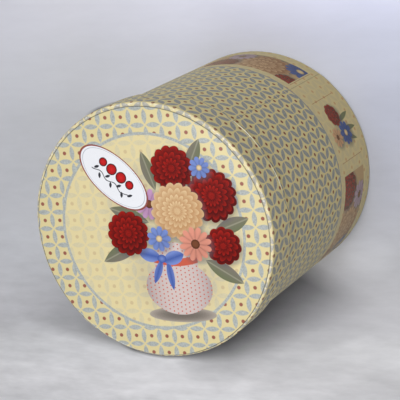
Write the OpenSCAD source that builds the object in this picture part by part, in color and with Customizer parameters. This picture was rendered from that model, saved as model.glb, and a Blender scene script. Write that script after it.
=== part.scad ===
// Round paper can with a lift-off lid that slips over its body.
// Body and lid are made the same way: a rolled greyboard tube with a greyboard
// disc let into one end, a printed paper glued round the outside and turned over
// both edges, a printed disc over the closed end, and plain paper linings.
// The can stands upright on its base at Z = 0, with its axis on Z and the lid on.

/* [Can] */
// Outside diameter of the lid, the widest part
lid_d = 140; // [90:1:220]
// Height of the body from its base to its mouth
body_h = 147.6; // [70:0.1:240]
// Depth of the lid from its face to the edge of its skirt
lid_h = 22.4; // [18:0.1:60]
// Free play between the body and the narrowest part of the lid, on the radius
lid_play = 0.48; // [0.4:0.02:1.2]

/* [Board and paper] */
// Thickness of the rolled greyboard walls
wall_t = 1.2; // [1:0.1:3]
// Thickness of the greyboard discs in the closed ends
disc_t = 1.8; // [1.2:0.1:3]
// Thickness of the printed paper
wrap_t = 0.15; // [0.1:0.01:0.25]
// Thickness of the printed discs on the closed ends
label_t = 0.15; // [0.1:0.01:0.25]
// Thickness of the lining paper
lining_t = 0.12; // [0.1:0.01:0.2]

/* [Edges] */
// Rounding of the papered edge round a closed end
rim_r = 1.1; // [0.4:0.1:1.1]
// Rounding of the papered edge round an open end
lip_r = 0.6; // [0.3:0.1:1.1]
// Width of printed paper turned over the closed end
end_turn = 8; // [4:0.5:14]
// Depth of printed paper turned in at the open end
mouth_turn = 8; // [4:0.5:12]
// How far the wall lining stops short of the open end
lining_drop = 2.5; // [1:0.1:3.5]
// Margin of wrap that shows round each printed disc
label_margin = 1.4; // [1.2:0.1:4]

/* [Overlaps] */
// Width of the overlap where the printed paper meets itself
lap_w = 9; // [4:0.5:16]
// Angle of the body's overlap round the axis, from +X towards +Y
body_seam_angle = 50.5; // [0:0.5:360]
// Angle of the lid's overlap round the axis, from +X towards +Y
lid_seam_angle = 232; // [0:0.5:360]

/* [Hidden] */

// Roundness of the can and number of chords in a rounded edge
round_steps = 180;
edge_steps = 5;

// The lid's wall from its outside to its lining where the paper is turned in
lid_wall_t = wrap_t + wall_t + wrap_t + lining_t;
lid_r = lid_d / 2;
body_r = lid_r - lid_wall_t - lid_play;

// The lid's lining lands on the body's mouth, so its closed end adds to the height
end_t = label_t + disc_t + lining_t;
can_h = body_h + end_t;

print_colour = [0.93, 0.86, 0.62];
board_colour = [0.66, 0.62, 0.56];
lining_colour = [0.96, 0.95, 0.91];

// Points of an arc round [x, y] from angle a0 to a1
function arc(x, y, r, a0, a1) = [
    for (i = [0 : edge_steps])
        let (a = a0 + (a1 - a0) * i / edge_steps) [x + r * cos(a), y + r * sin(a)]
];

// Each cup stands on its closed end: r is its papered outside radius, h its height
module spun(points) {
    rotate_extrude($fn = round_steps) polygon(points);
}

// Greyboard tube, with its outer edges eased where the paper goes round them
module cup_tube(r, h) {
    outer_r = r - wrap_t;
    foot_ease = rim_r - wrap_t;
    lip_ease = lip_r - wrap_t;
    foot = label_t + wrap_t;
    lip = h - wrap_t;
    spun(concat(
        [[outer_r - wall_t, foot]],
        arc(outer_r - foot_ease, foot + foot_ease, foot_ease, -90, 0),
        arc(outer_r - lip_ease, lip - lip_ease, lip_ease, 0, 90),
        [[outer_r - wall_t, lip]]
    ));
}

// Printed paper round the tube, turned over the closed end and in at the mouth
module cup_wrap(r, h, seam_angle) {
    bore_r = r - wrap_t - wall_t;
    foot = label_t;
    turn_r = r - wrap_t - end_turn;
    turn = h - mouth_turn;
    spun(concat(
        [[turn_r, foot]],
        arc(r - rim_r, foot + rim_r, rim_r, -90, 0),
        arc(r - lip_r, h - lip_r, lip_r, 0, 90),
        arc(bore_r, h - wrap_t, wrap_t, 90, 180),
        [[bore_r - wrap_t, turn], [bore_r, turn], [bore_r, h - wrap_t]],
        arc(r - lip_r, h - lip_r, lip_r - wrap_t, 90, 0),
        arc(r - rim_r, foot + rim_r, rim_r - wrap_t, 0, -90),
        [[turn_r, foot + wrap_t]]
    ));
    lap_angle = lap_w / r * 180 / PI;
    lap_foot = foot + rim_r;
    rotate([0, 0, seam_angle - lap_angle])
        rotate_extrude(angle = lap_angle, $fn = round_steps)
            translate([r - wrap_t, lap_foot])
                square([wrap_t * 2, h - lip_r - lap_foot]);
}

// Greyboard disc let into the closed end, pressed down where the wrap turns over it
module cup_board(r) {
    bore_r = r - wrap_t - wall_t;
    turn_r = r - wrap_t - end_turn;
    spun([
        [0, label_t],
        [turn_r, label_t],
        [turn_r, label_t + wrap_t],
        [bore_r, label_t + wrap_t],
        [bore_r, label_t + disc_t],
        [0, label_t + disc_t]
    ]);
}

// Printed disc glued over the closed end
module cup_label(r) {
    cylinder(h = label_t, r = r - label_margin, $fn = round_steps);
}

// Lining of the wall, over the turned-in wrap at the mouth
module cup_wall_lining(r, h) {
    bore_r = r - wrap_t - wall_t;
    over_r = bore_r - wrap_t;
    foot = label_t + disc_t;
    turn = h - mouth_turn;
    top = h - lining_drop;
    spun([
        [bore_r - lining_t, foot],
        [bore_r, foot],
        [bore_r, turn],
        [over_r, turn],
        [over_r, top],
        [over_r - lining_t, top],
        [over_r - lining_t, turn - lining_t],
        [bore_r - lining_t, turn - lining_t]
    ]);
}

// Lining of the closed end
module cup_end_lining(r) {
    translate([0, 0, label_t + disc_t])
        cylinder(h = lining_t, r = r - wrap_t - wall_t - lining_t, $fn = round_steps);
}

// The lid is a cup turned over, with its closed end at the top of the can
module as_lid() {
    translate([0, 0, can_h]) mirror([0, 0, 1]) children();
}

module body_tube() {
    color(board_colour) cup_tube(body_r, body_h);
}

module body_wrap() {
    color(print_colour) cup_wrap(body_r, body_h, body_seam_angle);
}

module body_lining() {
    color(lining_colour) cup_wall_lining(body_r, body_h);
}

module base_board() {
    color(board_colour) cup_board(body_r);
}

module base_label() {
    color(print_colour) cup_label(body_r);
}

module base_lining() {
    color(lining_colour) cup_end_lining(body_r);
}

module lid_ring() {
    color(board_colour) as_lid() cup_tube(lid_r, lid_h);
}

module lid_wrap() {
    color(print_colour) as_lid() cup_wrap(lid_r, lid_h, lid_seam_angle);
}

module lid_lining() {
    color(lining_colour) as_lid() cup_wall_lining(lid_r, lid_h);
}

module lid_board() {
    color(board_colour) as_lid() cup_board(lid_r);
}

module lid_label() {
    color(print_colour) as_lid() cup_label(lid_r);
}

module lid_top_lining() {
    color(lining_colour) as_lid() cup_end_lining(lid_r);
}

body_tube();
body_wrap();
body_lining();
base_board();
base_label();
base_lining();
lid_ring();
lid_wrap();
lid_lining();
lid_board();
lid_label();
lid_top_lining();
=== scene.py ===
"""Looks of a round paper can: papered shells, printed discs, linings and boards, and a plain stage."""

import math
from functools import partialmethod, wraps
from types import SimpleNamespace

import bpy
import numpy as np
from bpy.props import FloatProperty, FloatVectorProperty, IntProperty, PointerProperty
from bpy.types import Operator, Panel, PropertyGroup
from mathutils import Matrix, Vector


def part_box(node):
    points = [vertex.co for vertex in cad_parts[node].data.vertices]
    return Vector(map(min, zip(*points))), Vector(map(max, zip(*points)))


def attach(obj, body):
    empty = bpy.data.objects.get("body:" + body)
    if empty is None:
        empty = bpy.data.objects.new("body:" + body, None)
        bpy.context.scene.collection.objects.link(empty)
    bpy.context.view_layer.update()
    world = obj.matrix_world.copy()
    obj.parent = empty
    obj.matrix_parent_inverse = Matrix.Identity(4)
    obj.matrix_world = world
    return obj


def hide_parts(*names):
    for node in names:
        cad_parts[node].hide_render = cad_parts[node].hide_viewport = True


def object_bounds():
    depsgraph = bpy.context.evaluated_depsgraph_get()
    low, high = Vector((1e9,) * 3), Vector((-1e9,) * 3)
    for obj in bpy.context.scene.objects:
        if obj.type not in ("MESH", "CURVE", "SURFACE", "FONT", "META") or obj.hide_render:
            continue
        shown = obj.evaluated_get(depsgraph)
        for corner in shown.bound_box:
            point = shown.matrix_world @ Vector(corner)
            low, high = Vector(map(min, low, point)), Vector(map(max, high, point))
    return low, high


bl_info = {
    "name": "Round Paper Can",
    "version": (1, 0, 0),
    "blender": (4, 5, 0),
    "location": "View3D > Sidebar > Paper Can",
    "description": "Dresses a round paper can with printed paper, linings and greyboard",
    "category": "Add Mesh",
}

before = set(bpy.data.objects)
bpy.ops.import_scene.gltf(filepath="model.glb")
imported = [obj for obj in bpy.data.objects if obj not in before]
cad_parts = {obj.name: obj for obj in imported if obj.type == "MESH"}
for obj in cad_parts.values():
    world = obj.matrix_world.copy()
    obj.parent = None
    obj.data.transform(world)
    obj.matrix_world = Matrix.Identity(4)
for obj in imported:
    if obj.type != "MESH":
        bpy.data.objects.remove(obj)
cad_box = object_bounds()

MM = 0.001

# The photograph's camera: focal length in pixels of a square picture, its place from the
# middle of the lid's face, and the directions that are right and up in the picture
PICTURE_PIXELS = 400
FOCAL_PIXELS = 1691.8
SENSOR_WIDTH = 36.0
CAMERA_PLACE = Vector((0.4221, 0.2200, 0.7557))
CAMERA_RIGHT = Vector((0.89447, -0.12947, -0.42797))
CAMERA_UP = Vector((0.01246, 0.96401, -0.26559))

# Print on the discs, in millimetres from the lid's middle and in degrees: the lattice, with its
# petals as shares of its pitch, the disc's flat part, bend and tone, the ring, the oval and its berries
DISC_PITCH = 9.271
DISC_DOT = (0.46, -2.74)
DISC_PETAL_HALF_LENGTH = 0.435
DISC_PETAL_HALF_WIDTH = 0.152
DISC_FLAT_RADIUS = 55.0
DISC_BEND = 0.0060
DISC_TONE = 0.965
RING_MIDDLE = (0.42, -0.26)
RING_RADIUS = 53.38
RING_WIDTH = 1.55
OVAL_MIDDLE = (-18.15, 29.82)
OVAL_HALF = (23.07, 11.55)
OVAL_TURN = -43.45
OVAL_EDGE = 0.34
BERRIES = ((-9.5, 2.5), (-3.4, 3.2), (3.4, 3.2), (9.5, 2.5))
BERRY_HEIGHT = 2.9

# Print on the wraps, in millimetres: half of the diagonal lattice's repeat round the can and along
# it, where one dot lies from the body's overlap, or in degrees from +X on the lid, and from the lid's
# face, then petals and dots as shares of a cell, how far the rows climb round the body, and the band
BODY_STEP = (6.2232, 6.235)
BODY_DOT = (1.52, 28.04)
LID_STEP = (6.254, 6.30)
LID_DOT_ANGLE = 4.13
LID_DOT_DEPTH = 20.0
SIDE_PETAL_HALF_LENGTH = 0.435
SIDE_PETAL_HALF_WIDTH = 0.185
DOT_RADIUS = 0.113
BODY_SKEW = 0.00144
BAND_DEPTH = 103.2
BAND_LINE = 1.3

# Pictures on the band: how far they lie from the lid's face, in millimetres, and in degrees round the
# can the left edge of the first, half the width of one, how far apart they repeat, the fine lines
# after one and the middle of the sprig between them
PICTURE_DEPTHS = (109.3, 139.2)
PICTURE_START = 50.8
PICTURE_HALF_WIDTH = 24.0
PICTURE_REPEAT = 101.9
LINE_PLACES = (48.8, 63.0, 95.5)
SPRIG_MIDDLE = 77.5
SPRIG_SCALE = 1.2

# Softness of the lattice's edges, as a share of its pitch, and of plain shapes, in millimetres
LATTICE_EDGE = 0.035
CRISP = 0.15

# Painted shadow of a flower, in millimetres: how far it is shifted and how soft it is
SHADOW_SHIFT = (0.9, -1.2)
SHADOW_SOFTNESS = 3.0

# Relief of the paper's grain, in millimetres, and roughness of the print
GRAIN_DEPTH = 0.006
PRINT_ROUGHNESS = 0.22

# Steps of a wrap's mesh over the closed end and round its edge, and along the walls
END_STEPS = 8
RIM_STEPS = 12
BODY_WALL_STEPS = 40
LID_WALL_STEPS = 16

# Turns at the overlap's two edges: how wide the sharp one is, and how soft and wide the other is
SEAM_STEP = math.radians(0.03)
SEAM_SOFTNESS = math.radians(0.22)
SEAM_REACH = math.radians(0.8)

# Unevenness of a papered can: height in millimetres, waves round the can and phase. The can is a
# little out of round, and the paper at its closed edge has faint pleats
WOBBLE = ((0.05, 2, 0.6), (0.03, 5, 2.0))
PLEATS = ((0.012, 61, 0.0), (0.012, 97, 1.3), (0.012, 149, 0.4))

# Stretches of the lid's lip where its paper has frayed into a burr that carries a painted highlight:
# degrees from +X and height of the burr, how far it lies from the lip, and half its width, in millimetres
BURRS_AND_GLINTS = ((32.5, 51, 0.34), (12, 26, 0.24))
BURR_DEPTH = 0.70
BURR_WIDTH = 0.52

# The picture's floor: where it starts behind the can and how deep it is, in metres, and its tones, painted
# light and shade, linear, from behind the can (0) to in front of it (1)
FLOOR_BACK = 0.105
FLOOR_DEPTH = 0.26
FLOOR_TONES = (
    (0.02, (0.660, 0.662, 0.722)), (0.18, (0.622, 0.629, 0.668)), (0.30, (0.560, 0.567, 0.598)),
    (0.45, (0.545, 0.552, 0.582)), (0.60, (0.578, 0.586, 0.616)), (0.78, (0.588, 0.587, 0.612)),
    (0.87, (0.705, 0.705, 0.720)), (0.97, (0.692, 0.687, 0.702)),
)

# Shade that is painted on the floor, in metres. It lies along SHADE_WAY, SHADE_MIDDLE beside the
# can's axis, and runs SHADE_LENGTH back. LID_ON_FLOOR is the circle, x, y and radius, that the lid's
# outline covers for the camera, LIGHT_PATCH an ellipse's middle and halves, and CREST_TOP the x of
# the crease's highest point
LID_ON_FLOOR = (-0.0836, -0.0436, 0.0839)
SHADE_WAY = (0.839, 0.545)
SHADE_MIDDLE = 0.066
SHADE_HALF_WIDTH = 0.032
SHADE_SPREAD = 0.008
SHADE_LENGTH = 0.14
LIGHT_PATCH = ((0.050, -0.059), (0.030, 0.020))
CREST_TOP = 0.054

# Lamps: name, azimuth and tilt in degrees, distance and size in metres, level, and tint if any
LAMPS = (
    ("key", 60, 22, 1.1, 0.3, 0.385),
    ("left_fill", 120, 50, 1.1, 0.5, 0.17),
    ("right_near", 5, 50, 0.4, 0.15, 0.09, (1.0, 0.96, 0.84)),
    ("top_near", -25, 20, 0.45, 0.15, 0.18, (0.97, 0.98, 1.06)),
    ("sheen", 182, 14, 1.0, 0.3, 0.04),
    ("back_fill", 225, 78, 1.3, 0.8, 0.16),
    ("front_fill", -122, 74, 1.3, 0.8, 0.17),
)

# Light of the surround: level, how much more of it comes from an azimuth in degrees, and its tint
SURROUND_LEVEL = 0.20
SURROUND_LEAN = 0.54
SURROUND_AZIMUTH = 90
SURROUND_TINT = (0.97, 0.99, 1.06)


def paint(red, green, blue):
    """Scene-linear colour of a printed colour that is given as 0 to 255."""
    shares = np.array([red, green, blue]) / 255.0
    linear = np.where(shares <= 0.04045, shares / 12.92, ((shares + 0.055) / 1.055) ** 2.4)
    return tuple(float(value) for value in linear)


# Colour of the surround where the camera sees it
SURROUND = paint(205, 206, 212)

# Inks of the pictures
SHADOW = paint(92, 90, 96)
DARK_RED = paint(86, 6, 3)
RED = paint(176, 25, 12)
CREAM = paint(232, 205, 160)
SALMON = paint(206, 98, 76)
BROWN = paint(120, 70, 44)
BLUE = paint(120, 142, 205)
DEEP_BLUE = paint(58, 84, 160)
TAUPE = paint(128, 120, 110)
OLIVE = paint(112, 118, 88)
LILAC = paint(214, 198, 192)
SOOT = paint(52, 52, 58)


def length_setting(name, description, millimetres):
    """A length that a user may change."""
    return FloatProperty(name=name, description=description, default=millimetres * MM, unit="LENGTH")


def angle_setting(name, description, degrees):
    """An angle that a user may change."""
    return FloatProperty(name=name, description=description, default=math.radians(degrees), unit="ROTATION")


def colour_setting(name, description, *shares):
    """A colour that a user may change, given as 0 to 255."""
    return FloatVectorProperty(name=name, description=description, default=paint(*shares), subtype="COLOR")


class CanSizes(PropertyGroup):
    """Sizes of the papers and edges."""

    paper: length_setting("Printed paper", "Thickness of the printed paper", 0.15)
    lining: length_setting("Lining paper", "Thickness of the lining paper", 0.12)
    rim_round: length_setting("Closed edge", "Rounding of the papered edge round a closed end", 1.1)
    lip_round: length_setting("Open edge", "Rounding of the papered edge round an open end", 0.6)
    inner_round: length_setting("Inner edge", "Rounding of the paper where it turns in at the mouth", 0.25)
    end_turn: length_setting("End turn", "Width of paper turned over the closed end", 8)
    mouth_turn: length_setting("Mouth turn", "Depth of paper turned in at the mouth", 8)
    lining_drop: length_setting("Lining drop", "How far the wall lining stops short of the mouth", 2.5)
    lap: length_setting("Overlap", "Width of the overlap along the can", 9)
    body_seam: angle_setting("Body overlap", "Angle of the body's overlap", 50.5)
    lid_seam: angle_setting("Lid overlap", "Angle of the lid's overlap", 232)
    label_margin: length_setting("Disc margin", "Margin of wrap round each printed disc", 1.4)
    label_shift: FloatVectorProperty(
        name="Disc shift", description="How far off centre the lid's printed disc is glued",
        default=(-0.4 * MM, -0.8 * MM), size=2, unit="LENGTH",
    )
    steps: IntProperty(name="Steps", description="Steps round the can", default=420)


class CanColours(PropertyGroup):
    """Colours of the inks and papers."""

    yellow: colour_setting("Ground", "Yellow ground of the lattice", 226, 211, 158)
    pale: colour_setting("Pale ground", "Paler yellow inside the ring", 230, 215, 165)
    petal: colour_setting("Disc petal", "Blue-grey petals of the discs", 176, 181, 177)
    side_petal: colour_setting("Side petal", "Blue-grey petals of the wraps", 151, 154, 158)
    dot: colour_setting("Dot", "Red-brown dots", 156, 97, 82)
    side_dot: colour_setting("Side dot", "Red-brown dots of the wraps", 132, 66, 56)
    band: colour_setting("Band", "Beige band near the base", 220, 203, 156)
    lining: colour_setting("Lining", "Lining paper", 238, 234, 222)
    board: colour_setting("Greyboard", "Greyboard", 172, 166, 154)
    white: colour_setting("Paper white", "Unprinted paper", 244, 243, 238)
    floor: colour_setting("Floor", "Plain floor, whose light falls back on the can", 190, 187, 172)


def cups(sizes):
    """The body and the lid as cups: radius, bore, height and z of the closed end, from the frame."""
    body_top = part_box("body_wrap")[1]
    lid_low, lid_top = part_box("lid_wrap")
    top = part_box("lid_label")[1].z
    body = SimpleNamespace(
        radius=body_top.x, bore=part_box("body_lining")[1].x, height=body_top.z,
        seam=sizes.body_seam, end=0.0, way=1.0, top=top, wall_steps=BODY_WALL_STEPS,
        floor=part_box("base_lining")[0].z,
    )
    lid = SimpleNamespace(
        radius=lid_top.x, bore=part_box("lid_lining")[1].x, height=top - lid_low.z,
        seam=sizes.lid_seam, end=top, way=-1.0, top=top, wall_steps=LID_WALL_STEPS,
        floor=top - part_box("lid_top_lining")[1].z,
    )
    return body, lid


# Surfaces

def grid_piece(name, points, uv, closed_rows=False, solid=True):
    """Mesh over the grid points[row, column], with one quad between neighbours. The last column joins
    the first, and the last row the first where they are closed. A row that has shrunk to a pole is
    one point, and the faces of a solid are turned outwards by the sign of its volume."""
    rows, columns = points.shape[:2]
    row_starts = np.arange(rows if closed_rows else rows - 1)
    row, column = np.meshgrid(row_starts, np.arange(columns), indexing="ij")
    corner_row = np.stack([row, row + 1, row + 1, row], -1).reshape(-1, 4)
    corner_column = np.stack([column, column, column + 1, column + 1], -1).reshape(-1, 4)
    number = np.arange(rows * columns).reshape(rows, columns)
    pole = np.ptp(points, axis=1).max(1) < 1e-7
    number[pole] = number[pole][:, :1]
    kept, number = np.unique(number, return_inverse=True)
    places = points.reshape(-1, 3)[kept]
    faces = number.reshape(-1)[(corner_row % rows) * columns + corner_column % columns]
    face_uv = uv[corner_row, corner_column]
    if solid:
        corner = places[faces]
        volume = np.einsum("ij,ij->", corner[:, 0], np.cross(corner[:, 1], corner[:, 2]))
        volume += np.einsum("ij,ij->", corner[:, 0], np.cross(corner[:, 2], corner[:, 3]))
        if volume < 0:
            faces = faces[:, ::-1]
            face_uv = face_uv[:, ::-1]
    keep = faces != np.roll(faces, -1, axis=1)
    whole = keep.sum(1) > 2
    faces, face_uv, keep = faces[whole], face_uv[whole], keep[whole]
    counts = keep.sum(1)
    mesh = bpy.data.meshes.new(name)
    mesh.vertices.add(len(places))
    mesh.vertices.foreach_set("co", places.astype(np.float32).ravel())
    mesh.loops.add(int(counts.sum()))
    mesh.loops.foreach_set("vertex_index", faces[keep].astype(np.int32))
    mesh.polygons.add(len(counts))
    starts = np.concatenate([[0], np.cumsum(counts)[:-1]])
    mesh.polygons.foreach_set("loop_start", starts.astype(np.int32))
    mesh.update(calc_edges=True)
    layer = mesh.uv_layers.new(name="sheet")
    layer.data.foreach_set("uv", face_uv[keep].astype(np.float32).ravel())
    mesh.polygons.foreach_set("use_smooth", np.ones(len(counts), bool))
    mesh.set_sharp_from_angle(angle=math.radians(40))
    mesh.update()
    piece = bpy.data.objects.new(name, mesh)
    bpy.context.scene.collection.objects.link(piece)
    return piece


def line(start, end, steps):
    """Evenly spaced points from start towards end, without end."""
    share = np.linspace(0, 1, steps, endpoint=False)[:, None]
    return (1 - share) * np.array(start) + share * np.array(end)


def arc(middle, radius, start, end, steps):
    """Points on an arc, without its end: middle plus radius times cosine and sine of even angles."""
    angle = np.radians(np.linspace(start, end, steps, endpoint=False))
    return np.array(middle) + radius * np.stack([np.cos(angle), np.sin(angle)], 1)


def outward(path):
    """Unit normals to the right of a path in the (radius, height) plane."""
    along = np.gradient(path, axis=0)
    normal = np.stack([along[:, 1], -along[:, 0]], 1)
    return normal / np.linalg.norm(normal, axis=1)[:, None]


def bell(x, middle, half_width):
    """One at the middle, falling to zero at half_width either side as a squared cosine."""
    share = np.clip(np.abs(x - middle) / half_width, 0, 1)
    return np.cos(share * math.pi / 2) ** 2


def folds(cup, sizes):
    """Sheet depths, in millimetres, of the middles of the roundings at the closed edge and the lip."""
    wall = cup.top - (cup.end + cup.way * (sizes.paper + sizes.rim_round))
    wall_height = cup.height - sizes.lip_round - sizes.paper - sizes.rim_round
    rim = wall + cup.way * sizes.rim_round * math.pi / 4
    lip = wall - cup.way * (wall_height + sizes.lip_round * math.pi / 4)
    return rim / MM, lip / MM


def revolve(cup, radius, height, angle):
    """Points at radius[row, column] and height[row, column] of a cup, turned by angle[column]."""
    x = radius * np.cos(angle)[None, :]
    y = radius * np.sin(angle)[None, :]
    return np.stack([x, y, cup.end + cup.way * height], -1)


def waves(angle, table):
    """Sum of sines: each height times the sine of its waves times the angle plus its phase."""
    return sum(height * MM * np.sin(count * angle + phase) for height, count, phase in table)


def seam_turns(steps, lap_turn):
    """Angles from 0 to a full turn, evenly spaced, with close ones at both edges of the overlap."""
    even = np.linspace(0, 2 * math.pi, steps, endpoint=False)
    start = [SEAM_STEP, 2 * SEAM_STEP]
    end = lap_turn + np.linspace(-1, 1, 9) * SEAM_REACH
    return np.unique(np.concatenate([even, start, end]))


def wrap_piece(name, cup, sizes, burrs_and_glints=()):
    """A sheet carried along the cup's profile: over the closed end's edge, along the wall, round the
    lip and in at the mouth. Its outside is raised by one paper thickness over the overlap, and by
    each burr's height at the lip where (first turn, last turn, height) asks for one."""
    paper, rim, lip, inner = sizes.paper, sizes.rim_round, sizes.lip_round, sizes.inner_round
    radius, height, foot = cup.radius, cup.height, sizes.paper
    inside = cup.bore - paper
    turn_end = height - sizes.mouth_turn
    path = np.concatenate([
        line((radius - paper - sizes.end_turn, foot), (radius - rim, foot), END_STEPS),
        arc((radius - rim, foot + rim), rim, -90, 0, RIM_STEPS),
        line((radius, foot + rim), (radius, height - 2 * lip), cup.wall_steps),
        line((radius, height - 2 * lip), (radius, height - lip), 6),
        arc((radius - lip, height - lip), lip, 0, 90, 10),
        line((radius - lip, height), (inside + inner, height), 2),
        arc((inside + inner, height - inner), inner, 90, 180, 6),
        line((inside, height - inner), (inside, turn_end), 8),
        [(inside, turn_end)],
    ])
    normal = outward(path)
    length = np.concatenate([[0], np.cumsum(np.linalg.norm(np.diff(path, axis=0), axis=1))])
    wall_start = END_STEPS + RIM_STEPS
    depth_at_wall = cup.top - (cup.end + cup.way * path[wall_start, 1])
    depth = depth_at_wall - cup.way * (length - length[wall_start])

    lap_turn = sizes.lap / radius
    turn = seam_turns(sizes.steps, lap_turn)
    angle = cup.seam - turn
    rise = 1 - 1 / (1 + np.exp((lap_turn - turn) / SEAM_SOFTNESS))
    rise = np.where(turn < SEAM_STEP / 2, 0, rise)
    on_wall = np.clip((path[:, 0] - (radius - 0.8 * rim)) / (0.6 * rim), 0, 1)
    lift = paper * on_wall[:, None] * rise[None, :]
    on_rim = bell(length, length[END_STEPS + RIM_STEPS // 2], 2.2 * rim)
    lift = lift + on_rim[:, None] * waves(angle, PLEATS)[None, :]
    at_lip = bell(path[:, 1], height - BURR_DEPTH * MM, BURR_WIDTH * MM)
    at_lip = at_lip * (path[:, 0] > radius - 0.5 * lip)
    for first, last, tall in burrs_and_glints:
        along = bell(turn, (first + last) / 2, (last - first) / 2) ** 0.5
        lift = lift + tall * at_lip[:, None] * along[None, :]

    outside = path[:, None, :] + normal[:, None, :] * lift[..., None]
    back = (path - paper * normal)[::-1, None, :] + np.zeros((1, len(turn), 1))
    loop = np.concatenate([outside, back])
    loop[..., 0] += waves(angle, WOBBLE)[None, :] * np.clip(loop[..., 1] / height, 0, 1)
    points = revolve(cup, loop[..., 0], loop[..., 1], angle)
    across = np.append(turn, 2 * math.pi) * radius
    down = np.concatenate([depth, depth[::-1], depth[:1]])
    uv = np.stack(np.meshgrid(across, down), -1)
    return grid_piece(name, points, uv, closed_rows=True)


def disc_piece(name, cup, radius, low, high, shift, steps, drop=None):
    """A round sheet between two heights of a cup: rings from the middle to a rounded edge and back.
    drop(distance) is how far the sheet bends down at that distance from the can's axis."""
    edge = (high - low) * 0.35
    near = radius * 0.9
    path = np.concatenate([
        line((0, low), (near, low), 14),
        line((near, low), (radius - edge, low), 14),
        arc((radius - edge, low + edge), edge, -90, 0, 4),
        [(radius, low + edge), (radius, high)],
        line((radius - edge, high), (near, high), 6),
        line((near, high), (0, high), 6),
        [(0, high)],
    ])
    angle = np.linspace(0, 2 * math.pi, steps, endpoint=False)
    x = path[:, :1] * np.cos(angle)[None, :] + shift[0]
    y = path[:, :1] * np.sin(angle)[None, :] + shift[1]
    height = path[:, 1:] + np.zeros((1, steps))
    if drop is not None:
        height = height + drop(np.hypot(x, y))
    points = np.stack([x, y, cup.end + cup.way * height], -1)
    uv = points[..., :2]
    uv = np.concatenate([uv, uv[:, :1]], axis=1)
    return grid_piece(name, points, uv)


def rounded_drop(cup, sizes):
    """How far a round edge falls below its flat: the radius less the height of its quarter circle."""
    start = cup.radius - sizes.rim_round
    def drop(distance):
        over = np.clip(distance - start, 0, sizes.rim_round * 0.98)
        return sizes.rim_round - np.sqrt(sizes.rim_round ** 2 - over ** 2)
    return drop


def wall_lining_piece(name, cup, sizes):
    """A tube of lining paper: its profile steps inwards, over the turned-in wrap, in an S curve."""
    height = cup.height
    turn, top = height - sizes.mouth_turn, height - sizes.lining_drop
    low = cup.floor
    # Rows lie close together where the lining steps in
    z = np.concatenate([
        np.linspace(low, turn - 1.2 * MM, 14),
        np.linspace(turn - 1.0 * MM, turn + 0.4 * MM, 9),
        np.linspace(turn + 0.8 * MM, top, 5),
    ])
    ease = 0.9 * MM
    share = np.clip((z - turn + ease) / ease, 0, 1)
    step = sizes.paper * share * share * (3 - 2 * share)
    outer = np.stack([cup.bore - step, z], 1)
    inner = outer - np.array([sizes.lining, 0])
    loop = np.concatenate([outer, inner[::-1]])
    angle = np.linspace(0, 2 * math.pi, sizes.steps, endpoint=False)
    ones = np.ones((1, len(angle)))
    points = revolve(cup, loop[:, :1] * ones, loop[:, 1:] * ones, angle)
    across = np.append(angle, 2 * math.pi) * cup.bore
    down = np.concatenate([loop[:, 1], loop[:1, 1]])
    uv = np.stack(np.meshgrid(across, down), -1)
    return grid_piece(name, points, uv, closed_rows=True)


# Print

class Field:
    """A number that varies over a surface. Its sums and products are Math nodes."""

    def __init__(self, tree, socket):
        self.tree = tree
        self.socket = socket

    def math(self, operation, *others, clamp=False):
        return combine(self.tree, operation, (self,) + others, clamp)

    __add__ = __radd__ = partialmethod(math, "ADD")
    __sub__ = partialmethod(math, "SUBTRACT")
    __mul__ = __rmul__ = partialmethod(math, "MULTIPLY")
    __truediv__ = partialmethod(math, "DIVIDE")
    __pow__ = partialmethod(math, "POWER")
    __abs__ = partialmethod(math, "ABSOLUTE")
    sin = partialmethod(math, "SINE")
    cos = partialmethod(math, "COSINE")
    most = partialmethod(math, "MAXIMUM")
    least = partialmethod(math, "MINIMUM")

    def __rsub__(self, other):
        return combine(self.tree, "SUBTRACT", (other, self))

    def nearest(self):
        """Distance to the nearest whole number."""
        return self.math("PINGPONG", 0.5)

    def inside(self, softness):
        """One where the number is above zero and nought below, with an edge that wide."""
        return combine(self.tree, "MULTIPLY_ADD", (self, 1.0 / softness, 0.5), True)

    def climb(self, low, high):
        """Nought at low and one at high, even between them and level beyond."""
        slope = 1.0 / (high - low)
        return combine(self.tree, "MULTIPLY_ADD", (self, slope, -low * slope), True)

    def clamped(self):
        return self.math("ADD", 0.0, clamp=True)


def put(tree, socket, value):
    """Links or sets a socket: from a field, another socket, a number, a colour or a direction."""
    if isinstance(value, Field):
        tree.links.new(value.socket, socket)
    elif isinstance(value, bpy.types.NodeSocket):
        tree.links.new(value, socket)
    elif isinstance(value, (int, float)):
        socket.default_value = value
    else:
        socket.default_value = (tuple(value[:3]) + (1.0,))[:len(socket.default_value)]


def add_node(tree, kind, inputs, **settings):
    """A shader node with some of its settings, and with those inputs, by number or name, put in."""
    node = tree.nodes.new("ShaderNode" + kind)
    for name, value in settings.items():
        setattr(node, name, value)
    for key, value in inputs.items():
        put(tree, node.inputs[key], value)
    return node


def combine(tree, operation, values, clamp=False):
    """A Math node over fields and plain numbers."""
    node = add_node(tree, "Math", dict(enumerate(values)), operation=operation, use_clamp=clamp)
    return Field(tree, node.outputs[0])


def lay_out(work, count):
    """Node group that does what a function of that many numbers does."""
    group = bpy.data.node_groups.new(work.__name__, "ShaderNodeTree")
    for number in range(count):
        group.interface.new_socket(f"in_{number}", in_out="INPUT", socket_type="NodeSocketFloat")
    entry = group.nodes.new("NodeGroupInput")
    results = work(*[Field(group, socket) for socket in entry.outputs[:count]])
    for number in range(len(results)):
        group.interface.new_socket(f"out_{number}", in_out="OUTPUT", socket_type="NodeSocketFloat")
    end = group.nodes.new("NodeGroupOutput")
    for socket, result in zip(end.inputs, results):
        put(group, socket, result)
    return group


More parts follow.
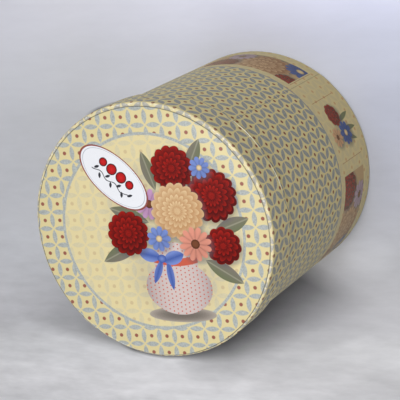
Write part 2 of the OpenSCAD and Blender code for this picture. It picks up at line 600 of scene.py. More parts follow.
def shared(work):
    """Makes a function of numbers into a node group at its first call, and adds one Group node at each
    call. A pair among the values counts as two of them."""

    @wraps(work)
    def use(*values):
        flat = []
        for value in values:
            flat.extend(value if isinstance(value, tuple) else (value,))
        tree = next(value.tree for value in flat if isinstance(value, Field))
        group = bpy.data.node_groups.get(work.__name__) or lay_out(work, len(flat))
        node = tree.nodes.new("ShaderNodeGroup")
        node.node_tree = group
        for socket, value in zip(node.inputs, flat):
            put(tree, socket, value)
        return [Field(tree, output) for output in node.outputs]

    return use


def hypot(x, y):
    """Length of (x, y)."""
    return combine(x.tree, "MULTIPLY_ADD", (x, x, y * y)).math("SQRT")


class Paint:
    """A printed surface: colour is laid on colour where a mask says, over one glossy shader."""

    def __init__(self, name, ground, roughness, specular=0.5):
        self.material = bpy.data.materials.new(name)
        self.material.use_nodes = True
        self.tree = self.material.node_tree
        self.shader = self.tree.nodes["Principled BSDF"]
        self.set("Roughness", roughness)
        self.set("Specular IOR Level", specular)
        self.colour = ground
        self.fibre = 0.5
        self.place = add_node(self.tree, "TexCoord", {}).outputs["Object"]

    def sheet(self):
        """The sheet's own two coordinates, in millimetres."""
        node = add_node(self.tree, "UVMap", {}, uv_map="sheet")
        return self.split(node.outputs["UV"], 1.0 / MM)[:2]

    def split(self, socket, scale=1.0):
        """The three numbers of a vector, each times a scale."""
        node = add_node(self.tree, "SeparateXYZ", {0: socket})
        return [Field(self.tree, output) * scale for output in node.outputs]

    def noise(self, size, detail=2.0, roughness=0.5, stretch=(1, 1, 1)):
        """Smooth noise from 0 to 1, whose patches are that many metres wide."""
        scale = [share / size for share in stretch]
        place = add_node(self.tree, "Mapping", {"Vector": self.place, "Scale": scale}).outputs[0]
        inputs = {"Vector": place, "Scale": 1.0, "Detail": detail, "Roughness": roughness}
        return Field(self.tree, add_node(self.tree, "TexNoise", inputs).outputs["Fac"])

    def blend(self, mask, first, second, kind="MIX"):
        """The first colour, or the second where the mask is one."""
        inputs = {0: mask, 6: first, 7: second}
        return add_node(self.tree, "Mix", inputs, data_type="RGBA", blend_type=kind).outputs[2]

    def lay(self, mask, colour):
        self.colour = self.blend(mask, self.colour, colour)

    def shade(self, tone):
        """Darkens or lightens all that is laid so far by a tone about one."""
        inputs = {0: self.colour, 3: tone}
        self.colour = add_node(self.tree, "VectorMath", inputs, operation="SCALE").outputs[0]

    def bump(self, height, depth):
        """Relief whose highest points stand depth metres above its lowest."""
        inputs = {"Strength": 1.0, "Distance": depth, "Height": height}
        self.set("Normal", add_node(self.tree, "Bump", inputs).outputs[0])

    def ramp(self, place, stops):
        """Colour that passes smoothly through the stops, each a place and a colour."""
        node = add_node(self.tree, "ValToRGB", {0: place})
        node.color_ramp.interpolation = "EASE"
        while len(node.color_ramp.elements) < len(stops):
            node.color_ramp.elements.new(0.5)
        for element, (at, colour) in zip(node.color_ramp.elements, stops):
            element.position = at
            element.color = colour + (1.0,)
        return node.outputs[0]

    def set(self, name, value):
        """Links or sets one of the shader's inputs."""
        put(self.tree, self.shader.inputs[name], value)

    def done(self):
        self.set("Base Color", self.colour)
        return self.material


@shared
def lattice(a, b, half_length, half_width):
    """Masks of the petals and dots of a square lattice with dots at whole a and b. A petal lies along
    each cell edge, between two arcs of one radius, and its tips stop short of the cell's corners."""
    radius = (half_length * half_length + half_width * half_width) / (half_width * 2.0)
    near_a, near_b = a.nearest(), b.nearest()
    reach = radius - half_width + 0.5
    level = hypot(near_a, reach - near_b)
    upright = hypot(near_b, reach - near_a)
    petals = (radius - level.least(upright)).inside(LATTICE_EDGE)
    dots = (DOT_RADIUS - hypot(near_a, near_b)).inside(LATTICE_EDGE)
    return petals, dots


@shared
def turned(x, y, middle_x, middle_y, degrees):
    """Coordinates along and across a shape that is turned about its middle."""
    turn = degrees * (math.pi / 180)
    c, s = turn.cos(), turn.sin()
    x, y = x - middle_x, y - middle_y
    return x * c + y * s, y * c - x * s


@shared
def ellipse(x, y, middle_x, middle_y, half_x, half_y, softness):
    """Mask of an ellipse, and the share of the way from its middle to its edge."""
    share = hypot((x - middle_x) / half_x, (y - middle_y) / half_y)
    room = (1.0 - share) * half_x.least(half_y)
    return (room / softness).inside(1.0), share


@shared
def leaf(x, y, middle_x, middle_y, length, width, degrees):
    """Mask of a pointed leaf between two arcs, and the distance from its midrib, plain and signed."""
    along, across = turned(x, y, middle_x, middle_y, degrees)
    radius = (length * length + width * width) / (width * 4.0)
    side = abs(across)
    return (radius - hypot(along, side + radius - width * 0.5)).inside(CRISP), side, across


@shared
def light_on(x, y, middle_x, middle_y, radius):
    """Light from the upper left on a low round shape, and its soft shadow to the lower right."""
    fall = ((y - middle_y) - (x - middle_x) * 0.6) * 0.16 / radius
    low = (middle_x + SHADOW_SHIFT[0], middle_y + SHADOW_SHIFT[1])
    under, _ = ellipse(x, y, low, (radius, radius), SHADOW_SOFTNESS)
    return fall, under


@shared
def bloom(x, y, middle_x, middle_y, radius, petals, rows, degrees, fibre):
    """Mask of a round many-petalled bloom, its tone and its shadow. The tone climbs across each row of
    petals, and the rows are scalloped by the cosine of the angle."""
    fall, under = light_on(x, y, (middle_x, middle_y), radius)
    x, y = turned(x, y, (middle_x, middle_y), degrees)
    share = hypot(x, y) / radius
    angle = y.math("ARCTAN2", x)
    scallop = abs((angle * petals * 0.5 + share * 2.4).cos())
    mask = ((scallop ** 0.8 * 0.11 + 0.89 - share) * radius).inside(0.2)
    row = (share * rows - scallop * 0.6 + 1.0).math("FRACT")
    tone = row ** 1.3 * (1.15 - share * 0.45) * scallop ** 0.4
    return mask, (tone + fall + fibre * 0.55 - 0.275).clamped(), under


@shared
def daisy(x, y, middle_x, middle_y, radius, petals, degrees, fibre):
    """Mask of a single-rowed flower, its tone, its shadow, and the mask and tone of its eye."""
    fall, under = light_on(x, y, (middle_x, middle_y), radius)
    x, y = turned(x, y, (middle_x, middle_y), degrees)
    share = hypot(x, y) / radius
    angle = y.math("ARCTAN2", x)
    scallop = abs((angle * petals * 0.5).cos())
    mask = ((scallop ** 0.6 * 0.34 + 0.66 - share) * radius).inside(0.2)
    tone = scallop ** 0.6 * 0.55 + share * 0.40 + fall + fibre * 0.35 - 0.08
    eye = ((0.27 - share) * radius).inside(0.15)
    return mask, tone.clamped(), under, eye, ((share * 3.7) ** 3.0 - fall).clamped()


def scaled(colour, share):
    """A darker or lighter ink: the colour times a share, and no channel above one."""
    return tuple(min(value * share, 1) for value in colour)


def lay_flowers(ink, x, y, flowers, dim):
    """Flowers from back to front, each over its soft shadow. One with rows of petals is a full bloom
    between its two inks. One without is single, with petals of its first ink and an eye of its second."""
    for middle, radius, petals, rows, degrees, first, second in flowers:
        if rows:
            mask, tone, under = bloom(x, y, middle, radius, petals, rows, degrees, ink.fibre)
            ink.lay(under * dim, SHADOW)
            ink.lay(mask, ink.blend(tone, first, second))
        else:
            mask, tone, under, eye, depth = daisy(x, y, middle, radius, petals, degrees, ink.fibre)
            ink.lay(under * dim, SHADOW)
            ink.lay(mask, ink.blend(tone, scaled(first, 0.42), first))
            ink.lay(eye, ink.blend(depth, second, scaled(second, 0.35)))


# The jug of flowers, in millimetres from the disc's middle. Leaves and ribbon: middle, length, width
# and turn. Flowers: middle, radius, petals, rows of petals or none, turn and two inks
JUG_X = 12.0
JUG_HALF_WIDTH = 19.5
JUG_DOTS = 0.42
POSY_SHADOWS = (((12, -24), (27, 22)), ((14, 14), (37, 24)))
POSY_LEAVES = (
    ((-19, -11), 27, 8.5, 205), ((-12, 9), 24, 8, 160), ((47, 3), 22, 8, 20),
    ((40, -22), 24, 8.5, -32), ((30, 40), 21, 7.5, 62), ((3, 33), 22, 7, 105),
)
RIBBON = (
    ((1, -22), 15, 4.2, 245), ((8, -24), 17, 4.2, 275),
    ((-3, -13), 13, 7.5, 168), ((11, -14.5), 13, 7.5, 18),
)
POSY_FLOWERS = (
    ((-14, -1), 12.5, 13, 3.6, 10, DARK_RED, RED),
    ((38, 19), 14.5, 15, 4.0, 50, DARK_RED, RED),
    ((17, 34), 12.5, 13, 3.6, 120, DARK_RED, RED),
    ((41, -8), 10.5, 11, 3.2, 80, DARK_RED, RED),
    ((1, 15), 8.5, 11, 0, 12, paint(196, 150, 190), BROWN),
    ((17, 11), 15.5, 17, 4.4, 30, paint(196, 150, 104), CREAM),
    ((25, -7), 9.5, 12, 0, 40, paint(226, 150, 128), BROWN),
    ((4, -4), 7.0, 9, 0, 0, BLUE, CREAM),
    ((33, 34), 6.0, 9, 0, 20, BLUE, CREAM),
)

# The flowers of a band picture and of the sprig beside it, in millimetres from their middles
PICTURE_FLOWERS = (
    ((6, 2), 17, 17, 3.4, 20, paint(150, 104, 72), paint(222, 186, 146)),
    ((-19, 9), 12, 13, 3.2, 40, DARK_RED, RED),
    ((-12, -9), 8.5, 11, 0, 10, paint(176, 150, 176), BROWN),
    ((25, -10), 9.5, 11, 0, 5, DEEP_BLUE, CREAM),
    ((27, 13), 8.5, 11, 2.8, 70, DARK_RED, RED),
)
SPRIG_BACK = (
    ((5.5, 8), 5.0, 9, 0, 0, paint(216, 168, 130), BROWN),
)
SPRIG_LEAVES = (((-2, -7), 80), ((4, -8), 96), ((8, -6), 112))
SPRIG_FRONT = (
    ((-5, 1.5), 6.0, 9, 2.6, 30, DARK_RED, RED),
    ((5.5, -2.5), 6.0, 9, 0, 15, DEEP_BLUE, CREAM),
)


def lay_posy(ink, x, y):
    """A jug of flowers: saucer, dotted jug, ribbon, leaves and blooms, painted from back to front."""
    for middle, half in POSY_SHADOWS:
        under, _ = ellipse(x, y, middle, half, 9.0)
        ink.lay(under * 0.22, paint(120, 124, 136))
    for middle, length, width, degrees in POSY_LEAVES:
        mask, side, across = leaf(x, y, middle, length, width, degrees)
        rib = (0.35 - side).inside(0.4)
        tone = (across * 0.13 + ink.fibre * 0.5 + 0.2).clamped()
        ink.lay(mask, ink.blend(tone, OLIVE, TAUPE))
        ink.lay(mask * rib * 0.5, paint(176, 172, 150))
    lay_jug(ink, x, y)
    for middle, length, width, degrees in RIBBON:
        mask, side, across = leaf(x, y, middle, length, width, degrees)
        ink.lay(mask, ink.blend((side * 0.3 + ink.fibre * 0.3).clamped(), DEEP_BLUE, BLUE))
    knot, out = ellipse(x, y, (4, -15), (2.6, 2.3), CRISP)
    ink.lay(knot, ink.blend(out.clamped(), BLUE, DEEP_BLUE))
    lay_flowers(ink, x, y, POSY_FLOWERS, 0.5)


def lay_jug(ink, x, y):
    """A saucer and a jug of two ellipses, darker towards its sides, with dots and a collar. Each
    column of dots stands half a step higher than the one before it."""
    saucer, out = ellipse(x, y, (JUG_X, -46), (20, 4.2), CRISP)
    tone = (out ** 3.0 + ink.fibre * 0.3).clamped()
    ink.lay(saucer, ink.blend(tone, paint(104, 96, 88), paint(170, 160, 148)))
    belly, _ = ellipse(x, y, (JUG_X, -31), (JUG_HALF_WIDTH, 15), CRISP)
    neck, _ = ellipse(x, y, (JUG_X, -17), (13, 11), CRISP)
    jug = belly.most(neck)
    off = x - JUG_X
    side = ((abs(off) / JUG_HALF_WIDTH) ** 2.4 * 0.8).clamped()
    ink.lay(jug, ink.blend(side, LILAC, paint(160, 146, 146)))
    column = x * JUG_DOTS
    row = y * JUG_DOTS + column.math("ROUND") * 0.5
    ink.lay(jug * (0.17 - hypot(column.nearest(), row.nearest())).inside(0.1), SALMON)
    collar = jug * (2.1 - abs(y + 17.0 - off * off * 0.012)).inside(0.3)
    ink.lay(collar, ink.blend(side, SALMON, paint(140, 52, 44)))


def lay_badge(ink, x, y):
    """A white oval with a red-brown edge and a fine grey line inside it, and a sprig of berries on a
    vine along a sine."""
    along, across = turned(x, y, OVAL_MIDDLE, OVAL_TURN)
    share = hypot(along / OVAL_HALF[0], across / OVAL_HALF[1])
    away = (1.0 - share) * (OVAL_HALF[1] * 1.25)
    ink.lay((away + OVAL_EDGE).inside(0.1), paint(148, 78, 68))
    ink.lay((away - OVAL_EDGE).inside(0.1), paint(240, 241, 244))
    ink.lay((0.11 - abs(away - 1.15)).inside(0.12), paint(176, 182, 190))
    vine = abs(across + 3.1 - (along * 0.62).sin() * 0.9)
    reach = (13.0 - abs(along)).inside(0.5)
    ink.lay((0.26 - vine).inside(0.14) * reach, SOOT)
    for number in range(7):
        at = (number - 3) * 4.0
        low = number % 2
        mask = leaf(along, across, (at + 1.0, -1.8 - 2.8 * low), 3.4, 1.5, 55 - 110 * low)[0]
        ink.lay(mask, SOOT)
    for at, big in BERRIES:
        rim, _ = ellipse(along, across, (at, BERRY_HEIGHT), (big, big), CRISP)
        ink.lay(rim, paint(58, 12, 12))
        heart, out = ellipse(along, across, (at, BERRY_HEIGHT), (big - 0.55, big - 0.55), CRISP)
        ink.lay(heart, ink.blend((out * 0.8).clamped(), paint(214, 34, 34), paint(160, 20, 20)))


def paper_grain(ink, relief=0.0):
    """Fine fibres and a slow swell in the relief and the gloss, and a slight unevenness of the ink,
    which is returned. Relief is any other height of the sheet, in millimetres."""
    fine = ink.noise(0.35 * MM, 3.0, 0.6)
    slow = ink.noise(9 * MM, 1.0)
    ink.fibre = fine
    ink.bump((fine * 0.25 + slow) * GRAIN_DEPTH + relief, MM)
    ink.set("Roughness", PRINT_ROUGHNESS - 0.03 + slow * 0.05)
    return 0.955 + fine * 0.07 + slow * 0.02


def petal_ink(ink, colour):
    """Mottled ink, between a darker and a lighter shade of a colour."""
    mottle = (ink.noise(0.9 * MM, 3.0, 0.7) * 2.6 - 0.8).clamped()
    return ink.blend(mottle, scaled(colour, 0.75), scaled(colour, 1.25))


def disc_material(name, colours, radius, shift, picture):
    """Print of a disc: the lattice, and with a picture also the ring, the paler inside and the badge."""
    ink = Paint(name, tuple(colours.yellow), PRINT_ROUGHNESS)
    x, y = ink.sheet()
    # The disc bends down a little towards its edge
    sunk = (hypot(x, y) - DISC_FLAT_RADIUS).most(0.0)
    tone = paper_grain(ink, sunk * sunk * -DISC_BEND)
    petals, dots = lattice(
        (x - DISC_DOT[0]) / DISC_PITCH, (y - DISC_DOT[1]) / DISC_PITCH,
        DISC_PETAL_HALF_LENGTH, DISC_PETAL_HALF_WIDTH,
    )
    petal = petal_ink(ink, colours.petal)
    ink.lay(petals, petal)
    ink.lay(dots, colours.dot)
    if picture:
        out = hypot(x - RING_MIDDLE[0], y - RING_MIDDLE[1])
        ink.lay((RING_RADIUS - out).inside(0.2) * 0.73, colours.pale)
        ink.lay((RING_WIDTH / 2 - abs(out - RING_RADIUS)).inside(0.2), petal)
        lay_posy(ink, x, y)
        lay_badge(ink, x, y)
    # Painted shade along the disc's cut edge, in the gap where it meets the turned-over wrap, broken up by
    # noise
    edge = radius / MM - hypot(x - shift[0] / MM, y - shift[1] / MM)
    patchiness = ink.noise(2.5 * MM, 3.0, 0.6)
    ink.lay((0.42 - edge).inside(0.2) * (0.45 + patchiness * 0.7).clamped(), paint(84, 86, 74))
    ink.shade(tone * DISC_TONE)
    return ink.done()


def wrap_material(name, colours, cup, sizes, step, dot, band, burrs_and_glints=()):
    """Print of a wrap: a lattice turned by 45 degrees and, with a band, a paler strip with pictures.
    The sheet's edge at the overlap shows as a fine line of painted shade."""
    ink = Paint(name, tuple(colours.yellow), PRINT_ROUGHNESS, 0.3)
    across, down = ink.sheet()
    tone = paper_grain(ink)
    skew = BODY_SKEW if band else 0.0
    k = (across - dot[0]) / step[0]
    j = (down - across * skew - dot[1]) / step[1]
    petals, dots = lattice(
        (k + j) * 0.5, (k - j) * 0.5, SIDE_PETAL_HALF_LENGTH, SIDE_PETAL_HALF_WIDTH,
    )
    petal = petal_ink(ink, colours.side_petal)
    ink.lay(petals, petal)
    ink.lay(dots, colours.side_dot)
    if band:
        far = (down - BAND_DEPTH).inside(0.4)
        ink.lay(far * 0.87, colours.band)
        ink.lay(far * dots * 0.5, paint(204, 136, 92))
        border = BAND_LINE / 2 - abs(down - (BAND_DEPTH - BAND_LINE / 2))
        ink.lay(border.inside(0.3), petal)
        lay_pictures(ink, across, down)
    patchiness = ink.noise(1.7 * MM, 3.0, 0.6)
    # Painted shade: a fine dark line along the sheet's edge at the overlap
    girth = 2 * math.pi * cup.radius / MM
    near = across.least(girth - across)
    ink.lay((0.22 - near).inside(0.2) * (0.05 + patchiness * 0.9).clamped(), paint(118, 92, 68))
    lay_wear_and_painted_light(ink, down, patchiness, folds(cup, sizes), colours.white)
    # Painted highlight: a cream glint along the lip where the burrs stand
    for first, last, _ in burrs_and_glints:
        middle, half = (first + last) / 2 * cup.radius / MM, (last - first) / 2 * cup.radius / MM
        along = (half - abs(across - middle)).inside(5.0)
        depth = abs(down - (cup.height / MM - BURR_DEPTH - 0.1))
        ink.lay(along * (0.27 - depth).inside(0.16), paint(244, 236, 206))
    ink.shade(tone)
    return ink.done()


def lay_wear_and_painted_light(ink, down, patchiness, places, white):
    """Folds at the closed edge and the lip, paler with a painted highlight and rubbed white in places, and
    a dark line of painted shade beside the closed edge.
    """
    for place, width in zip(places, (1.8, 0.6)):
        close = abs(down - place + width * 0.4).climb(width, 0)
        # Painted highlight: a pale tint over the fold
        ink.lay((close * 1.5).clamped() * 0.30, paint(224, 212, 172))
        # Wear: white paper where the fold is rubbed through
        ink.lay((close + patchiness * 1.4 - 1.70).inside(0.25) * 0.55, white)
    # Painted shade: a dark line beside the closed edge's fold
    shade_line = (0.2 - abs(down - places[0] - 0.95)).inside(0.25)
    ink.lay(shade_line * (patchiness * 0.8 + 0.1).clamped(), paint(84, 84, 76))


def lay_pictures(ink, across, down):
    """Pictures, sprigs and fine lines on the band. The angle round the can is folded so that one
    picture and the gap after it repeat. What a third repeat leaves over is filled with one more gap."""
    degree = 360.0 / (2 * math.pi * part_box("body_wrap")[1].x / MM)
    turn = (across * degree + (360 - PICTURE_START)).math("WRAP", 360.0, 0.0)
    late = turn.math("GREATER_THAN", 2 * PICTURE_REPEAT)
    turn = (turn - late * (360 - 3 * PICTURE_REPEAT)).math("WRAP", PICTURE_REPEAT, 0.0)
    x = (turn - PICTURE_HALF_WIDTH) / degree
    y = 0.5 * (PICTURE_DEPTHS[0] + PICTURE_DEPTHS[1]) - down
    tall = 0.5 * (PICTURE_DEPTHS[1] - PICTURE_DEPTHS[0])
    inside = (PICTURE_HALF_WIDTH / degree - abs(x)).inside(0.2) * (tall - abs(y)).inside(0.2)
    ground = ink.colour
    ink.colour = paint(194, 162, 122)
    lay_flowers(ink, x, y, PICTURE_FLOWERS, 0.75)
    ink.colour = ink.blend(inside, ground, ink.colour)
    for at in LINE_PLACES:
        fine = (0.22 - abs((turn - at) / degree)).inside(0.15)
        ink.lay(fine * (tall - abs(y)).inside(0.4) * 0.7, paint(170, 112, 84))
    x = (turn - SPRIG_MIDDLE) / (degree * SPRIG_SCALE)
    y = y / SPRIG_SCALE
    lay_flowers(ink, x, y, SPRIG_BACK, 0.75)
    for middle, degrees in SPRIG_LEAVES:
        ink.lay(leaf(x, y, middle, 14, 2.6, degrees)[0], OLIVE)
    lay_flowers(ink, x, y, SPRIG_FRONT, 0.75)


def lining_material(name, colours):
    """Uncoated lining paper with short fibres."""
    ink = Paint(name, tuple(colours.lining), 0.75, 0.3)
    fibres = ink.noise(0.5 * MM, 4.0, 0.65)
    cloud = ink.noise(14 * MM, 2.0)
    ink.bump(fibres, 0.02 * MM)
    ink.shade(0.93 + fibres * 0.08 + cloud * 0.03)
    return ink.done()


def board_material(name, colours):
    """Greyboard: grey-brown pulp with darker flecks and long fibres."""
    ink = Paint(name, tuple(colours.board), 0.85, 0.25)
    fibres = ink.noise(0.8 * MM, 5.0, 0.7, (1, 1, 0.25))
    flecks = ink.noise(0.45 * MM, 2.0, 0.5)
    ink.lay((flecks - 0.63).inside(0.05) * 0.5, paint(96, 88, 78))
    ink.bump(fibres, 0.05 * MM)
    ink.shade(0.86 + fibres * 0.28)
    return ink.done()


# Pieces

def finish(piece, body, node, material):
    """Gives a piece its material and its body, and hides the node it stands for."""
    piece.data.materials.append(material)
    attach(piece, body)
    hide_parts(node)


class PAPERCAN_OT_wraps(Operator):
    """Makes the printed papers that are wrapped round the body and round the lid's skirt"""

    bl_idname = "papercan.wraps"
    bl_label = "Printed wraps"

    def execute(self, context):
        sizes, colours = context.scene.papercan_sizes, context.scene.papercan_colours
        body, lid = cups(sizes)
        body_print = wrap_material("body_print", colours, body, sizes, BODY_STEP, BODY_DOT, True)
        body_paper = wrap_piece("body_paper", body, sizes)
        finish(body_paper, "can", "body_wrap", body_print)
        lid_dot = ((lid.seam - math.radians(LID_DOT_ANGLE)) * lid.radius / MM, LID_DOT_DEPTH)
        burrs_and_glints = [
            (lid.seam - math.radians(last), lid.seam - math.radians(first), tall * MM)
            for first, last, tall in BURRS_AND_GLINTS
        ]
        lid_print = wrap_material("lid_print", colours, lid, sizes, LID_STEP, lid_dot, False, burrs_and_glints)
        lid_paper = wrap_piece("lid_paper", lid, sizes, burrs_and_glints)
        finish(lid_paper, "lid", "lid_wrap", lid_print)
        return {"FINISHED"}


class PAPERCAN_OT_discs(Operator):
    """Makes the printed discs on the lid and on the base"""

    bl_idname = "papercan.discs"
    bl_label = "Printed discs"

    def execute(self, context):
        sizes, colours = context.scene.papercan_sizes, context.scene.papercan_colours
        body, lid = cups(sizes)
        radius, shift = lid.radius - sizes.label_margin, tuple(sizes.label_shift)
        lid_disc = disc_piece(
            "lid_disc", lid, radius, 0.0, sizes.paper, shift, sizes.steps, rounded_drop(lid, sizes)
        )
        lid_picture = disc_material("lid_picture", colours, radius, shift, True)
        finish(lid_disc, "lid", "lid_label", lid_picture)
        radius, shift = body.radius - sizes.label_margin, (0.0, 0.0)
        base_disc = disc_piece("base_disc", body, radius, 0.0, sizes.paper, shift, sizes.steps)
        base_print = disc_material("base_print", colours, radius, shift, False)
        finish(base_disc, "can", "base_label", base_print)
        return {"FINISHED"}


class PAPERCAN_OT_linings(Operator):
    """Makes the plain paper linings of the walls and closed ends"""

    bl_idname = "papercan.linings"
    bl_label = "Linings"

    def execute(self, context):
        sizes, colours = context.scene.papercan_sizes, context.scene.papercan_colours
        paper = lining_material("lining_paper", colours)
        for cup, body, wall, end, end_node in zip(
            cups(sizes), ("can", "lid"), ("body_lining", "lid_lining"),
            ("base_inside", "lid_inside"), ("base_lining", "lid_top_lining"),
        ):
            finish(wall_lining_piece(wall + "_paper", cup, sizes), body, wall, paper)
            disc = disc_piece(
                end, cup, cup.bore - sizes.lining, cup.floor, cup.floor + sizes.lining, (0, 0), sizes.steps
            )
            finish(disc, body, end_node, paper)
        return {"FINISHED"}


class PAPERCAN_OT_boards(Operator):
    """Gives the greyboard tubes and discs their pulp"""

    bl_idname = "papercan.boards"
    bl_label = "Greyboard"

    def execute(self, context):
        board = board_material("greyboard", context.scene.papercan_colours)
        for node in ("body_tube", "base_board", "lid_ring", "lid_board"):
            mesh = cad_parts[node].data
            mesh.materials.clear()
            mesh.materials.append(board)
        return {"FINISHED"}


# Stage

def soft_lamp(name, azimuth, tilt, distance, size, level, colour=(1, 1, 1)):
    """A round lamp that faces the can. Azimuth is from +X towards +Y and tilt from +Z, in degrees.
    Level is about the brightness that it gives a white sheet facing it at that distance."""
    lamp = bpy.data.lights.new(name, "AREA")
    lamp.shape = "DISK"
    lamp.size = size
    lamp.energy = level * (math.pi * distance) ** 2
    lamp.color = colour
    piece = bpy.data.objects.new(name, lamp)
    target = Vector((0, 0, cad_box[1][2] / 2))
    a, t = math.radians(azimuth), math.radians(tilt)
    direction = Vector((math.cos(a) * math.sin(t), math.sin(a) * math.sin(t), math.cos(t)))
    facing = direction.to_track_quat("Z", "Y").to_matrix().to_4x4()
    piece.matrix_world = Matrix.Translation(target + direction * distance) @ facing
    piece.visible_camera = False
    bpy.context.scene.collection.objects.link(piece)


def surround_light():
    """A soft surround: its level times one plus its lean times the cosine to a direction, tinted, and
    a plain colour where the camera sees it."""
    world = bpy.data.worlds.new("surround")
    bpy.context.scene.world = world
    world.use_nodes = True
    tree = world.node_tree
    a = math.radians(SURROUND_AZIMUTH)
    way = add_node(tree, "TexCoord", {}).outputs["Generated"]
    dot = add_node(tree, "VectorMath", {0: way, 1: (math.cos(a), math.sin(a), 0)}, operation="DOT_PRODUCT")
    lit = Field(tree, dot.outputs["Value"]) * (SURROUND_LEVEL * SURROUND_LEAN) + SURROUND_LEVEL
    tinted = add_node(tree, "VectorMath", {0: SURROUND_TINT, 3: lit}, operation="SCALE").outputs[0]
    seen = add_node(tree, "LightPath", {}).outputs["Is Camera Ray"]
    mix = add_node(tree, "Mix", {0: seen, 6: tinted, 7: SURROUND}, data_type="RGBA")
    put(tree, tree.nodes["Background"].inputs["Color"], mix.outputs[2])


def floor_sheet():
    """A wide sheet of rings whose spacing grows outwards. Away from the can its height is a product
    of a sine and a cosine, as soft folds."""
    out = np.concatenate([[0], np.geomspace(0.05, 9.0, 70)])
    angle = np.linspace(0, 2 * math.pi, 120, endpoint=False)
    x = out[:, None] * np.cos(angle)
    y = out[:, None] * np.sin(angle)
    away = np.clip((np.hypot(x, y) - 0.09) / 0.1, 0, 1)
    z = -0.0006 * away * (1 + np.sin(9 * x + 14 * y) * np.cos(17 * y - 6 * x))
    points = np.stack([x, y, z], -1)
    uv = np.concatenate([points, points[:, :1]], axis=1)[..., :2]
    floor = grid_piece("floor", points, uv, solid=False)
    floor.data.flip_normals()
    return floor


def floor_material(name, plain):
    """Floor paper: to the camera the picture's tones as painted light and shade, cooler behind the can on
    its right, with painted shade and creases, and to all other light the plain colour. Far away it runs
    into the surround."""
    ink = Paint(name, plain, 0.7, 0.2)
    x, y, _ = ink.split(ink.place)
    depth = y.climb(FLOOR_BACK, FLOOR_BACK - FLOOR_DEPTH)
    ink.colour = ink.ramp(depth, FLOOR_TONES)
    cool = x.climb(-0.12, 0.08) * y.climb(-0.06, 0.02)
    ink.colour = ink.blend(cool, ink.colour, (0.97, 1.0, 1.12), "MULTIPLY")
    ink.shade(floor_shade(x, y) * painted_floor_light(ink, x, y, depth))
    seen = Field(ink.tree, add_node(ink.tree, "LightPath", {}).outputs["Is Camera Ray"])
    ink.colour = ink.blend(seen, plain, ink.colour)
    distant = hypot(x, y).climb(0.3, 1.0) * seen
    ink.lay(distant, (0.0, 0.0, 0.0))
    ink.set("Emission Color", SURROUND)
    ink.set("Emission Strength", distant)
    return ink.done()


def floor_shade(x, y):
    """Soft shade where the photograph's can lies over the floor: a wedge on the side away from the
    light, wider towards its near end, with a lighter patch beyond that end, a dark line that widens
    along the lid's outline, and a patch to the left of it."""
    behind = (x * SHADE_WAY[0] + y * SHADE_WAY[1]) * -1.0
    half = behind.climb(0.05, 0) * SHADE_SPREAD + SHADE_HALF_WIDTH
    beside = (x * SHADE_WAY[1] - y * SHADE_WAY[0] - SHADE_MIDDLE) / half
    start = (behind + beside * 0.02).climb(0.013, 0.031)
    end = behind.climb(SHADE_LENGTH, SHADE_LENGTH - 0.04)
    wedge = abs(beside).climb(1.1, 0.1) * start * end
    away = hypot(x - LID_ON_FLOOR[0], y - LID_ON_FLOOR[1]) - LID_ON_FLOOR[2]
    width = ((x + 0.069) * 0.32).most(-0.002) + 0.004
    line = (away / width).climb(1, 0) * x.climb(-0.12, -0.11)
    edge = (y + (x + 0.1455) * 0.22).climb(-0.1205, -0.1125)
    left = y.climb(-0.045, -0.12) ** 1.6 * away.climb(0.04, 0) * edge * x.climb(-0.1, -0.11)
    _, out = ellipse(x, y, *LIGHT_PATCH, 0.01)
    lift = out.climb(1, 0) * 0.32 + 1.0
    return (1.0 - wedge * 0.70) * (1.0 - line * 0.70) * (1.0 - left * 0.62) * lift


def painted_floor_light(ink, x, y, depth):
    """Painted light and shade on the floor paper: broad clouds, faint folds across it, a slope of light
    from left to right, one crease that is darker behind it and lighter in front, and less light towards the
    right."""
    cloud = ink.noise(0.16, 2.0)
    wrinkle = ink.noise(0.035, 5.0, 0.6, (0.35, 1.6, 1.0))
    fine = ink.noise(0.010, 3.0, 0.6, (0.45, 1.6, 1.0))
    near = (depth - 0.62).clamped()
    uneven = (wrinkle - 0.5) * (near * 1.2 + 0.05) + (fine - 0.5) * (depth * depth * 0.4 + 0.08)
    # Painted shade and highlight of one crease: darker behind its crest and lighter in front
    crest = y + 0.1206 - abs(x - CREST_TOP).climb(0.034, 0) ** 1.3 * 0.011
    side = crest.climb(-0.002, 0.002) * 2.0 - 1.0
    crease = side * abs(crest).climb(0.025, 0) * x.climb(-0.03, 0.02)
    # Painted slope of light from left to right, and less light towards the right
    right = (x + 0.17).most(-0.1).least(0.4)
    slope = right * (depth.climb(0.12, 0) * 0.9 + 1.0) + abs(depth - 0.82).climb(0.1, 0) * (x + 0.06)
    lean = 1.06 - (x + 0.05).most(0.0).least(0.11) * (depth.climb(0, 0.3) * 0.8 + 1.1)
    return (cloud * 0.06 + uneven + slope - crease * 0.055 + 0.97) * lean


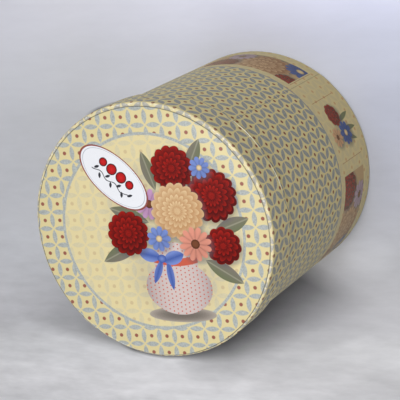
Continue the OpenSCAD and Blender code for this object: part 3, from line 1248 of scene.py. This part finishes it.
def photo_camera():
    """The photograph's camera, placed from the middle of the lid's face."""
    lens = bpy.data.cameras.new("camera")
    lens.sensor_width = SENSOR_WIDTH
    lens.lens = SENSOR_WIDTH * FOCAL_PIXELS / PICTURE_PIXELS
    camera = bpy.data.objects.new("camera", lens)
    right = CAMERA_RIGHT.normalized()
    back = right.cross(CAMERA_UP).normalized()
    turn = Matrix((right, back.cross(right), back)).transposed().to_4x4()
    lid_face = Vector((0, 0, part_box("lid_label")[1].z))
    camera.matrix_world = Matrix.Translation(lid_face + CAMERA_PLACE) @ turn
    bpy.context.scene.collection.objects.link(camera)
    bpy.context.scene.camera = camera


class PAPERCAN_OT_stage(Operator):
    """Makes the pale floor, the soft light and the camera"""

    bl_idname = "papercan.stage"
    bl_label = "Stage"

    def execute(self, context):
        floor = floor_sheet()
        plain = tuple(context.scene.papercan_colours.floor)
        floor.data.materials.append(floor_material("floor_paper", plain))
        for lamp in LAMPS:
            soft_lamp(*lamp)
        surround_light()
        photo_camera()
        context.scene.view_settings.view_transform = "Standard"
        return {"FINISHED"}


STEPS = (
    PAPERCAN_OT_stage,
    PAPERCAN_OT_boards,
    PAPERCAN_OT_linings,
    PAPERCAN_OT_wraps,
    PAPERCAN_OT_discs,
)


class PAPERCAN_PT_panel(Panel):
    """Lists the steps that make the can, and its sizes and colours"""

    bl_idname = "PAPERCAN_PT_panel"
    bl_label = "Paper Can"
    bl_space_type = "VIEW_3D"
    bl_region_type = "UI"
    bl_category = "Paper Can"

    def draw(self, context):
        for step in STEPS:
            self.layout.operator(step.bl_idname)
        for group in (context.scene.papercan_sizes, context.scene.papercan_colours):
            for name in group.__annotations__:
                self.layout.prop(group, name)


CLASSES = (CanSizes, CanColours) + STEPS + (PAPERCAN_PT_panel,)


def register():
    for item in CLASSES:
        bpy.utils.register_class(item)
    bpy.types.Scene.papercan_sizes = PointerProperty(type=CanSizes)
    bpy.types.Scene.papercan_colours = PointerProperty(type=CanColours)


def unregister():
    del bpy.types.Scene.papercan_colours
    del bpy.types.Scene.papercan_sizes
    for item in reversed(CLASSES):
        bpy.utils.unregister_class(item)


def main():
    register()
    bpy.ops.papercan.stage()
    bpy.ops.papercan.boards()
    bpy.ops.papercan.linings()
    bpy.ops.papercan.wraps()
    bpy.ops.papercan.discs()


if __name__ == "__main__":
    main()
